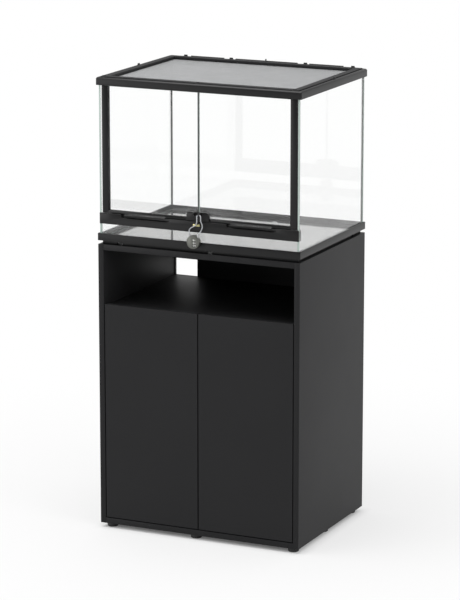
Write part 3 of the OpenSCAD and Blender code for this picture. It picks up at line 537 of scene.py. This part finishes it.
for hand in ("left", "right"):
    arms = moulded(f"hinge_pair_{hand}", f"hinge_arms_{hand}", width=0.0004)
    coat(arms, nickel)
    fit(arms, "cabinet", f"hinge_arms_{hand}")
    cups = moulded(f"cup_pair_{hand}", f"hinge_cups_{hand}", width=0.0002)
    coat(cups, nickel)
    fit(cups, f"cabinet_door_{hand}", f"hinge_cups_{hand}")
    plunger = moulded(f"latch_pin_{hand}", f"latch_plunger_{hand}", width=0.0005)
    coat(plunger, latch_plastic)
    fit(plunger, f"latch_plunger_{hand}", f"latch_plunger_{hand}")
    coat_node(f"strike_plate_{hand}", zinc)
latch_cases = moulded("latch_cases", "latch_bodies", width=0.0008)
coat(latch_cases, latch_plastic)
fit(latch_cases, "cabinet", "latch_bodies")


# ---------- terrarium base frame ----------
# A moulded band of black plastic holds the glass. A set-back rim under it stands on the cabinet
# and has small slots, through which air reaches the space below the tank.

black_plastic = Finish("black moulded plastic", {"Specular IOR Level": 0.3})
stipple = black_plastic.noise(1600, 2)
flow = black_plastic.noise(9, 2)
black_plastic.feed(
    "Base Color",
    black_plastic.tint(0.6 * stipple + 0.4 * flow, seen(9, 9, 10), seen(15, 15, 16)),
)
black_plastic.feed("Roughness", 0.26 + 0.1 * stipple + 0.06 * flow)
black_plastic.feed("Normal", black_plastic.relief(stipple, 0.00004, 0.4))

base = moulded("base_moulding", "base_frame", width=0.0007, segments=3, quarters=True)
coat(base, black_plastic)
fit(base, "cabinet", "base_frame")


# ---------- fixed glass ----------
# Float glass, cut to size with ground edges: a floor, two sides, a back and a low front pane.
# Black silicone glues and seals the panes where they meet.

arris = 0.0006
glass_tint = (0.994, 0.997, 0.995, 1)
glass_shade = (0.96, 0.98, 0.97, 1)
glass_ior = 1.5

clear_glass = Finish(
    "clear float glass", {"Base Color": glass_tint, "IOR": glass_ior, "Transmission Weight": 1}
)
smear = clear_glass.noise(14, 3)
clear_glass.feed("Roughness", 0.012 * smear)
lamp_ray = clear_glass.node("ShaderNodeLightPath", {}, {}, "Is Shadow Ray")
let_through = clear_glass.node("ShaderNodeBsdfTransparent", {}, {"Color": glass_shade})
surface = clear_glass.node(
    "ShaderNodeMixShader",
    {},
    {0: lamp_ray, 1: Reading(clear_glass, clear_glass.shader.outputs[0]), 2: let_through},
)
clear_glass.tree.links.new(
    surface.socket, clear_glass.tree.nodes["Material Output"].inputs["Surface"]
)

ground_edge = Finish("ground glass edge", {"IOR": glass_ior})
frost = ground_edge.noise(900, 2)
ground_edge.feed("Base Color", ground_edge.tint(frost, seen(156, 172, 164), seen(186, 200, 194)))
ground_edge.feed("Roughness", 0.35 + 0.25 * frost)


def pane(name, node):
    """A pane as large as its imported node, its edges ground and its arrises broken."""
    low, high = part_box(node)
    piece = block(name, low, high)
    pick(piece, "EDGE", lambda middle, way: True)
    bpy.ops.mesh.bevel(offset=arris, segments=1, affect="EDGES")
    close()
    coat(piece, clear_glass, ground_edge)
    size = high - low
    across = min(range(3), key=lambda axis: size[axis])
    for face in piece.data.polygons:
        face.material_index = 0 if abs(face.normal[across]) > square else 1
    return piece


for name, node in (
    ("floor_pane", "floor_glass"),
    ("side_pane_left", "side_glass_left"),
    ("side_pane_right", "side_glass_right"),
    ("back_pane", "back_glass"),
    ("low_front_pane", "front_glass"),
):
    fit(pane(name, node), "cabinet", node)

silicone = Finish("black silicone", {"Specular IOR Level": 0.5})
tooled = silicone.noise(120, 2)
silicone.feed("Base Color", silicone.tint(tooled, seen(20, 20, 21), seen(34, 34, 35)))
silicone.feed("Roughness", 0.3 + 0.15 * tooled)
silicone.feed("Normal", silicone.relief(tooled, 0.0002, 0.4))
coat_node("silicone_seams", silicone)


# ---------- front rail ----------
# A black rail clipped over the low pane's edge, with a stop behind the doors, two finger recesses
# and the doors' lower pivot bores. A small brass-plated keeper sits on its middle.

rail_low, rail_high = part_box("front_rail")
rail_nose_r = 0.0018
rail_lip_h = 0.02
rail = moulded(
    "rail_moulding",
    "front_rail",
    width=0.0006,
    segments=3,
    nose=(
        rail_nose_r,
        lambda middle, way: abs(way.x) > square
        and middle.y < rail_low.y + near
        and middle.z > rail_high.z - rail_lip_h,
    ),
)
coat(rail, black_plastic)
fit(rail, "cabinet", "front_rail")

brass = Finish("brass plating", {"Metallic": 1.0})
polish = brass.noise(250, 3)
brass.feed("Base Color", brass.tint(polish, seen(168, 162, 118), seen(198, 192, 150)))
brass.feed("Roughness", 0.18 + 0.16 * polish)
strap = moulded("keeper_strap", "keeper", width=0.0005, segments=3)
coat(strap, brass)
fit(strap, "cabinet", "keeper")


# ---------- top frame and clips ----------
# A black plastic frame round the panes' upper edges, with a rim round the lid. Strips close the
# cable notches in its back, and small spring clips in the gap hold the lid.

top_ring = moulded("top_moulding", "top_frame", width=0.0006, segments=3, quarters=True)
coat(top_ring, black_plastic)
fit(top_ring, "cabinet", "top_frame")

strip_plastic = Finish("grey moulded plastic", {"Specular IOR Level": 0.3})
grained = strip_plastic.noise(1600, 2)
strip_plastic.feed("Base Color", strip_plastic.tint(grained, seen(44, 44, 45), seen(54, 54, 55)))
strip_plastic.feed("Roughness", 0.34 + 0.1 * grained)
strips = moulded("notch_strips", "inlet_covers", width=0.0004)
coat(strips, strip_plastic)
fit(strips, "cabinet", "inlet_covers")

clips = moulded("spring_clips", "lid_clips", width=0.0004)
coat(clips, polyamide)
fit(clips, "cabinet", "lid_clips")


# ---------- mesh lid ----------
# A lift-off frame of powder-coated aluminium section. Woven aluminium mesh is rolled into a seat
# round its opening.

lid_low, lid_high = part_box("lid_frame")
lid_border = 0.0205
mesh_seat = 0.006
seat_h = 0.003
lid_corner_r = 0.003
lid_edge_r = 0.0009

powder = Finish("black powder coat", {"Specular IOR Level": 0.15})
orange_peel = powder.noise(420, 2)
powder.feed("Base Color", powder.tint(orange_peel, seen(30, 30, 31), seen(40, 40, 41)))
powder.feed("Roughness", 0.5 + 0.12 * orange_peel)
powder.feed("Normal", powder.relief(orange_peel, 0.00008, 0.4))

lid = block("lid_section", lid_low, lid_high)
pick(lid, "FACE", lambda middle, normal: normal.z > square)
bpy.ops.mesh.inset(thickness=lid_border)
bpy.ops.mesh.delete(type="ONLY_FACE")
pick(lid, "FACE", lambda middle, normal: normal.z < -square)
bpy.ops.mesh.inset(thickness=lid_border - mesh_seat)
bpy.ops.mesh.extrude_region_move(TRANSFORM_OT_translate={"value": (0, 0, seat_h)})
bpy.ops.mesh.inset(thickness=mesh_seat)
bpy.ops.mesh.delete(type="ONLY_FACE")
bpy.ops.mesh.select_mode(type="EDGE")
bpy.ops.mesh.select_non_manifold(
    extend=False, use_wire=False, use_multi_face=False, use_non_contiguous=False, use_verts=False
)
bpy.ops.mesh.bridge_edge_loops()
bpy.ops.mesh.select_all(action="SELECT")
bpy.ops.mesh.normals_make_consistent(inside=False)
pick(
    lid, "EDGE", lambda middle, way: abs(way.z) > square and abs(middle.x) > lid_high.x - near
)
bpy.ops.mesh.bevel(offset=lid_corner_r, segments=4, affect="EDGES")
close()
soften(lid, lid_edge_r)
coat(lid, powder)
fit(lid, "lid", "lid_frame")

wire_pitch = 0.0016
wire_share = 0.62
wire_edge = math.cos(math.pi / 2 * wire_share)
woven = Finish("woven aluminium", {"Metallic": 0.4, "Roughness": 0.5})
warp = (woven.along("X") * (math.pi / wire_pitch)).sine()
weft = (woven.along("Y") * (math.pi / wire_pitch)).sine()
dull = woven.noise(30, 2)
woven.feed("Base Color", woven.tint(dull, seen(156, 157, 158), seen(174, 175, 176)))
woven.feed("Alpha", (abs(warp) > wire_edge).larger(abs(weft) > wire_edge))
woven.feed("Normal", woven.relief(warp * weft, 0.0004, 0.6))
coat_node("lid_mesh", woven)


# ---------- glass doors ----------
# Each door is a pane held at its outer edge by a round-nosed hinge post and along its foot by a
# profile with a finger lip. Soft strips meet in the middle, and pins turn in rail and frame.

smoky_strip = Finish("smoky soft strip", {"Specular IOR Level": 0.5})
wiped = smoky_strip.noise(60, 2, (1, 1, 0.1))
smoky_strip.feed("Base Color", smoky_strip.tint(wiped, seen(76, 80, 78), seen(96, 100, 98)))
smoky_strip.feed("Roughness", 0.3 + 0.15 * wiped)

post_seat = 0.0063
post_slot = 0.0046
door_glass_mid = -0.215
post_nose_r = 0.0039
post_edge_r = 0.0004

for hand, sign in (("left", -1), ("right", 1)):
    body = f"glass_door_{hand}"
    fit(pane(f"door_pane_{hand}", f"door_glass_{hand}"), body, f"door_glass_{hand}")

    low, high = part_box(f"door_post_{hand}")
    outer = high.x if sign > 0 else low.x
    inner = low.x if sign > 0 else high.x
    post = block(f"hinge_post_{hand}", low, high)
    pick(
        post, "EDGE", lambda middle, way: abs(way.z) > square and abs(middle.x - outer) < near
    )
    bpy.ops.mesh.bevel(offset=post_nose_r, segments=8, affect="EDGES")
    close()
    slot_ends = sorted((inner - sign * cutter_lead, inner + sign * post_seat))
    slot_cut = block(
        "slot_cut",
        Vector((slot_ends[0], door_glass_mid - post_slot / 2, low.z - cutter_lead)),
        Vector((slot_ends[1], door_glass_mid + post_slot / 2, high.z + cutter_lead)),
    )
    carve(post, slot_cut)
    soften(post, post_edge_r)
    coat(post, black_plastic)
    fit(post, body, f"door_post_{hand}")

    foot = moulded(f"foot_profile_{hand}", f"door_foot_{hand}", width=0.0005)
    coat(foot, black_plastic)
    fit(foot, body, f"door_foot_{hand}")
    plate = moulded(f"lock_corner_{hand}", f"lock_plate_{hand}", width=0.0005)
    coat(plate, black_plastic)
    fit(plate, body, f"lock_plate_{hand}")
    coat_node(f"edge_strip_{hand}", smoky_strip)


# ---------- cable lock ----------
# A three-dial lock: two cast zinc halves in a satin finish, riveted over black dials with white
# numbers. Its stranded steel cable runs through the right door's ear.

case_low, case_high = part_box("lock_shell_front")
case_r = (case_high.x - case_low.x) / 2
case_mid = Vector(((case_low.x + case_high.x) / 2, case_high.y, (case_low.z + case_high.z) / 2))
case_half = case_high.y - case_low.y
case_nose_r = 0.0012
case_edge_r = 0.00015
groove_in = 0.0016
groove_w = 0.0005
groove_deep = 0.0004
dial_clear = 0.0003
cable_columns = (-0.019, 0.005)
cable_bore_w = 0.0055
cable_bore_floor = 0.84795

satin = Finish("satin zinc casting", {"Metallic": 0.85})
blasted = satin.noise(800, 3)
satin.feed("Base Color", satin.tint(blasted, seen(84, 85, 82), seen(122, 123, 117)))
satin.feed("Roughness", 0.32 + 0.18 * blasted)
satin.feed("Normal", satin.relief(blasted, 0.00005, 0.5))

put_down()
bpy.ops.mesh.primitive_cylinder_add(
    vertices=96,
    radius=case_r,
    depth=case_half,
    location=case_mid - Vector((0, case_half / 2, 0)),
    rotation=(math.pi / 2, 0, 0),
)
shell = settle("case_front")
pick(shell, "FACE", lambda middle, normal: normal.y < -square)
bpy.ops.mesh.inset(thickness=groove_in)
bpy.ops.mesh.extrude_region_move(TRANSFORM_OT_translate={"value": (0, groove_deep, 0)})
bpy.ops.mesh.inset(thickness=groove_w)
bpy.ops.mesh.extrude_region_move(TRANSFORM_OT_translate={"value": (0, -groove_deep, 0)})
pick(
    shell,
    "EDGE",
    lambda middle, way: middle.y < case_low.y + near
    and (middle - case_mid).xz.length > case_r - groove_in / 4,
)
bpy.ops.mesh.bevel(offset=case_nose_r, segments=4, affect="EDGES")
close()
for dial in ("lock_dial_top", "lock_dial_middle", "lock_dial_bottom"):
    low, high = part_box(dial)
    middle = (low + high) / 2
    put_down()
    bpy.ops.mesh.primitive_cylinder_add(
        vertices=64,
        radius=(high.x - low.x) / 2 + dial_clear,
        depth=high.z - low.z + 2 * dial_clear,
        location=middle,
    )
    carve(shell, settle("dial_room"))
cable_bore_deep = case_high.z - cable_bore_floor
for x in cable_columns:
    drill(shell, (x, case_mid.y, case_high.z), -up, cable_bore_w, cable_bore_deep)
soften(shell, case_edge_r)
coat(shell, satin)

take_up(shell)
bpy.ops.object.duplicate()
shell_back = settle("case_back")
pick(shell_back, "FACE", lambda middle, normal: True)
bpy.ops.transform.resize(value=(1, -1, 1), center_override=case_mid)
bpy.ops.mesh.normals_make_consistent(inside=False)
close()
fit(shell, "lock", "lock_shell_front")
fit(shell_back, "lock", "lock_shell_back")

black_ring = Finish("black number ring", {"Specular IOR Level": 0.5})
handled = black_ring.noise(200, 3)
black_ring.feed("Base Color", black_ring.tint(handled, seen(16, 16, 17), seen(28, 28, 29)))
black_ring.feed("Roughness", 0.28 + 0.12 * handled)
white_ink = Finish("white ink", {"Specular IOR Level": 0.3})
printed = white_ink.noise(900, 2)
white_ink.feed("Base Color", white_ink.tint(printed, seen(226, 226, 222), seen(242, 242, 238)))
white_ink.feed("Roughness", 0.4 + 0.2 * printed)

ring_r = 0.0075
ring_edge_r = 0.0003
digit_count = 10
half_step = math.pi / digit_count
flat_r = ring_r * math.cos(half_step)
digit_h = 0.0062
digit_proud = 0.00006
digit_bold = 0.00035

for level, first in (("top", 0), ("middle", 3), ("bottom", 7)):
    low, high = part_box(f"lock_dial_{level}")
    middle = (low + high) / 2
    put_down()
    bpy.ops.mesh.primitive_cylinder_add(
        vertices=digit_count,
        radius=ring_r,
        depth=high.z - low.z,
        location=middle,
        rotation=(0, 0, half_step),
    )
    ring = settle(f"number_ring_{level}")
    soften(ring, ring_edge_r)
    coat(ring, black_ring, white_ink)
    digits = []
    for count in range(digit_count):
        turn = 2 * half_step * count
        way = Vector((math.sin(turn), -math.cos(turn), 0))
        put_down()
        bpy.ops.object.text_add(
            location=middle + way * flat_r, rotation=(math.pi / 2, 0, turn)
        )
        digit = bpy.context.active_object
        digit.data.body = str((first + count) % digit_count)
        digit.data.size = digit_h
        digit.data.extrude = digit_proud
        digit.data.offset = digit_bold
        digit.data.align_x = "CENTER"
        digit.data.align_y = "CENTER"
        bpy.ops.object.convert(target="MESH")
        digit = settle(f"digit_{level}_{count}")
        digits.append(digit)
        coat(digit, white_ink)
    take_up(ring)
    for digit in digits:
        digit.select_set(True)
    bpy.ops.object.join()
    fit(ring, f"lock_dial_{level}", f"lock_dial_{level}")

coat_node("lock_ferrules", nickel)

strand_steel = Finish(
    "coated strand steel", {"Metallic": 1.0, "Coat Weight": 0.4, "Coat Roughness": 0.1}
)
drawn = strand_steel.noise(600, 3)
strand_steel.feed(
    "Base Color", strand_steel.tint(drawn, seen(168, 170, 174), seen(208, 210, 213))
)
strand_steel.feed("Roughness", 0.2 + 0.2 * drawn)

cable_r = 0.0015
strand_count = 6
points_per_strand = 6
groove_share = 0.28
lay_length = 0.016
strand_angle = math.radians(50)
cable_merge_reach = 0.000001
cable_points = [
    # place, handle before and handle after, in X and Z
    ((-0.019, 0.84945), (-0.019, 0.8475), (-0.019, 0.8525)),
    ((-0.019, 0.85745), (-0.019, 0.8545), (-0.027, 0.88345)),
    ((0.0023, 0.8955), (0.0023, 0.8725), (0.0023, 0.9)),
    ((0.0023, 0.90625), (0.0023, 0.902), (0.0023, 0.909398)),
    ((0.008, 0.91195), (0.004852, 0.91195), (0.011148, 0.91195)),
    ((0.0137, 0.90625), (0.0137, 0.909398), (0.0137, 0.902)),
    ((0.0137, 0.8955), (0.0137, 0.9), (0.0207, 0.8835)),
    ((0.005, 0.85745), (0.022, 0.87545), (0.005, 0.8545)),
    ((0.005, 0.84945), (0.005, 0.8525), (0.005, 0.8475)),
]

put_down()
bpy.ops.curve.primitive_bezier_circle_add(radius=cable_r)
outline = bpy.context.active_object
outline.name = "strand_outline"
outline.data.splines.clear()
lobes = outline.data.splines.new("POLY")
lobes.points.add(strand_count * points_per_strand - 1)
lobes.use_cyclic_u = True
for count, point in enumerate(lobes.points):
    turn = 2 * math.pi * count / len(lobes.points)
    dip = 1 - abs(math.cos(strand_count / 2 * turn))
    reach = cable_r * (1 - groove_share * dip * dip)
    point.co = (reach * math.cos(turn), reach * math.sin(turn), 0, 1)

put_down()
bpy.ops.curve.primitive_bezier_curve_add(location=(0, 0, 0))
cable = bpy.context.active_object
cable.data.splines.clear()
run = cable.data.splines.new("BEZIER")
run.bezier_points.add(len(cable_points) - 1)
travelled = 0
last_place = None
for point, (place, before, after) in zip(run.bezier_points, cable_points):
    point.co = (place[0], case_mid.y, place[1])
    point.handle_left_type = "FREE"
    point.handle_right_type = "FREE"
    point.handle_left = (before[0], case_mid.y, before[1])
    point.handle_right = (after[0], case_mid.y, after[1])
    travelled += (point.co - last_place).length if last_place else 0
    last_place = point.co.copy()
    point.tilt = 2 * math.pi * travelled / lay_length
cable.data.resolution_u = 28
cable.data.twist_mode = "MINIMUM"
cable.data.bevel_mode = "OBJECT"
cable.data.bevel_object = outline
cable.data.use_fill_caps = True
bpy.ops.object.convert(target="MESH")
cable = settle("lock_strand")
bpy.data.objects.remove(outline)
pick(cable, "FACE", lambda middle, normal: True)
bpy.ops.mesh.remove_doubles(threshold=cable_merge_reach)
bpy.ops.mesh.normals_make_consistent(inside=False)
close()
bpy.ops.object.shade_smooth_by_angle(angle=strand_angle)
coat(cable, strand_steel)
fit(cable, "lock", "lock_cable")


# ---------- floor, light and camera ----------
# The cabinet stands on a plain white floor in white surroundings. Large soft lamps hang above it,
# to its right and low at its front left, where they don't mirror in its front.

floor_size = 40
white = (1, 1, 1, 1)
paper_dark = (0.8, 0.8, 0.8, 1)
paper_light = (0.82, 0.82, 0.82, 1)
half_width = 0.3
half_depth = 0.225

put_down()
bpy.ops.mesh.primitive_plane_add(size=floor_size, location=(0, 0, 0))
floor = settle("floor")
paper = Finish("white floor", {"Roughness": 0.9, "Specular IOR Level": 0})
paper.feed("Base Color", paper.tint(paper.noise(3, 2), paper_dark, paper_light))


def fading(distance, start, end, first, last):
    """A share that goes softly from its first to its last value between two distances."""
    return paper.node(
        "ShaderNodeMapRange",
        {"interpolation_type": "SMOOTHSTEP"},
        {
            "Value": distance,
            "From Min": start,
            "From Max": end,
            "To Min": first,
            "To Max": last,
        },
    )


def is_ray(finish, kind):
    """1 where a ray of one kind strikes, and 0 elsewhere."""
    return finish.node("ShaderNodeLightPath", {}, {}, f"Is {kind} Ray")


# The white of the floor gives way to its real shade round the cabinet's foot.
out_from_middle = paper.node(
    "ShaderNodeVectorMath", {"operation": "LENGTH"}, {0: paper.place()}, "Value"
)
out_from_sides = (abs(paper.along("X")) - half_width).larger(abs(paper.along("Y")) - half_depth)
white_share = fading(out_from_middle, 0.3, 1.7, 0.66, 1.0) * fading(
    out_from_sides, -0.03, 0.03, 0.15, 1.0
)
seen_white = (
    is_ray(paper, "Camera")
    .larger(is_ray(paper, "Glossy"))
    .larger(is_ray(paper, "Transmission"))
    .larger(fading(out_from_middle, 1.4, 3.2, 0.0, 0.9))
)
glow = paper.node("ShaderNodeEmission", {}, {"Color": white, "Strength": 1.0})
floor_look = paper.node(
    "ShaderNodeMixShader",
    {},
    {0: white_share * seen_white, 1: Reading(paper, paper.shader.outputs[0]), 2: glow},
)
paper.tree.links.new(floor_look.socket, paper.tree.nodes["Material Output"].inputs["Surface"])
coat(floor, paper)


class Surroundings(Finish):
    """The light from all round, with its nodes made as a finish's are."""

    def __init__(self, name):
        self.world = bpy.data.worlds.new(name)
        self.world.use_nodes = True
        self.tree = self.world.node_tree
        self.tree.nodes.remove(self.tree.nodes["Background"])

    def rising(self, axis, start, end, first, last):
        """A strength that grows along an axis of the direction that is looked in."""
        looked = self.node("ShaderNodeTexCoord", {}, {}, "Generated")
        part = self.node("ShaderNodeSeparateXYZ", {}, {0: looked}, axis)
        inputs = {
            "Value": part, "From Min": start, "From Max": end, "To Min": first, "To Max": last
        }
        return self.node("ShaderNodeMapRange", {}, inputs)

    def light(self, strength):
        inputs = {"Color": white, "Strength": strength}
        return self.node("ShaderNodeBackground", {}, inputs)


sky = Surroundings("white surroundings")
overhead = sky.rising("Z", 0.0, 0.9, 0.22, 0.75)
backdrop = sky.rising("Y", 0.2, 1.0, 0.0, 0.42)
seen_straight = is_ray(sky, "Camera").larger(is_ray(sky, "Transmission"))
sky_look = sky.node(
    "ShaderNodeMixShader",
    {},
    {0: seen_straight, 1: sky.light(overhead + backdrop), 2: sky.light(1.0)},
)
sky.tree.links.new(sky_look.socket, sky.tree.nodes["World Output"].inputs["Surface"])
bpy.context.scene.world = sky.world


def lamp(name, place, aim, size, power):
    """A square soft lamp that points at a place."""
    put_down()
    way = Vector(aim) - Vector(place)
    turn = way.to_track_quat("-Z", "Y").to_euler()
    bpy.ops.object.light_add(type="AREA", location=place, rotation=turn)
    made = bpy.context.active_object
    made.name = name
    made.data.size = size
    made.data.energy = power


middle_of_cabinet = (0, 0, 0.6)
lamp("lamp_above", (-0.6, -0.7, 3.6), middle_of_cabinet, size=2.2, power=62)
lamp("lamp_right", (3.3, -1.2, 1.9), middle_of_cabinet, size=1.8, power=36)
lamp("lamp_front", (-2.9, -2.7, 1.1), middle_of_cabinet, size=2.0, power=36)

put_down()
view_from = Vector((3.3949, -7.3130, 2.4877))
view_at = Vector((-0.00825, 0, 0.6291))
lens_mm = 179.63
film_mm = 36
sight_m = 100
bpy.ops.object.camera_add(
    location=view_from, rotation=(view_at - view_from).to_track_quat("-Z", "Y").to_euler()
)
camera = bpy.context.active_object
camera.data.lens = lens_mm
camera.data.sensor_width = film_mm
camera.data.clip_end = sight_m
bpy.context.scene.camera = camera
bpy.context.scene.view_settings.view_transform = "Standard"
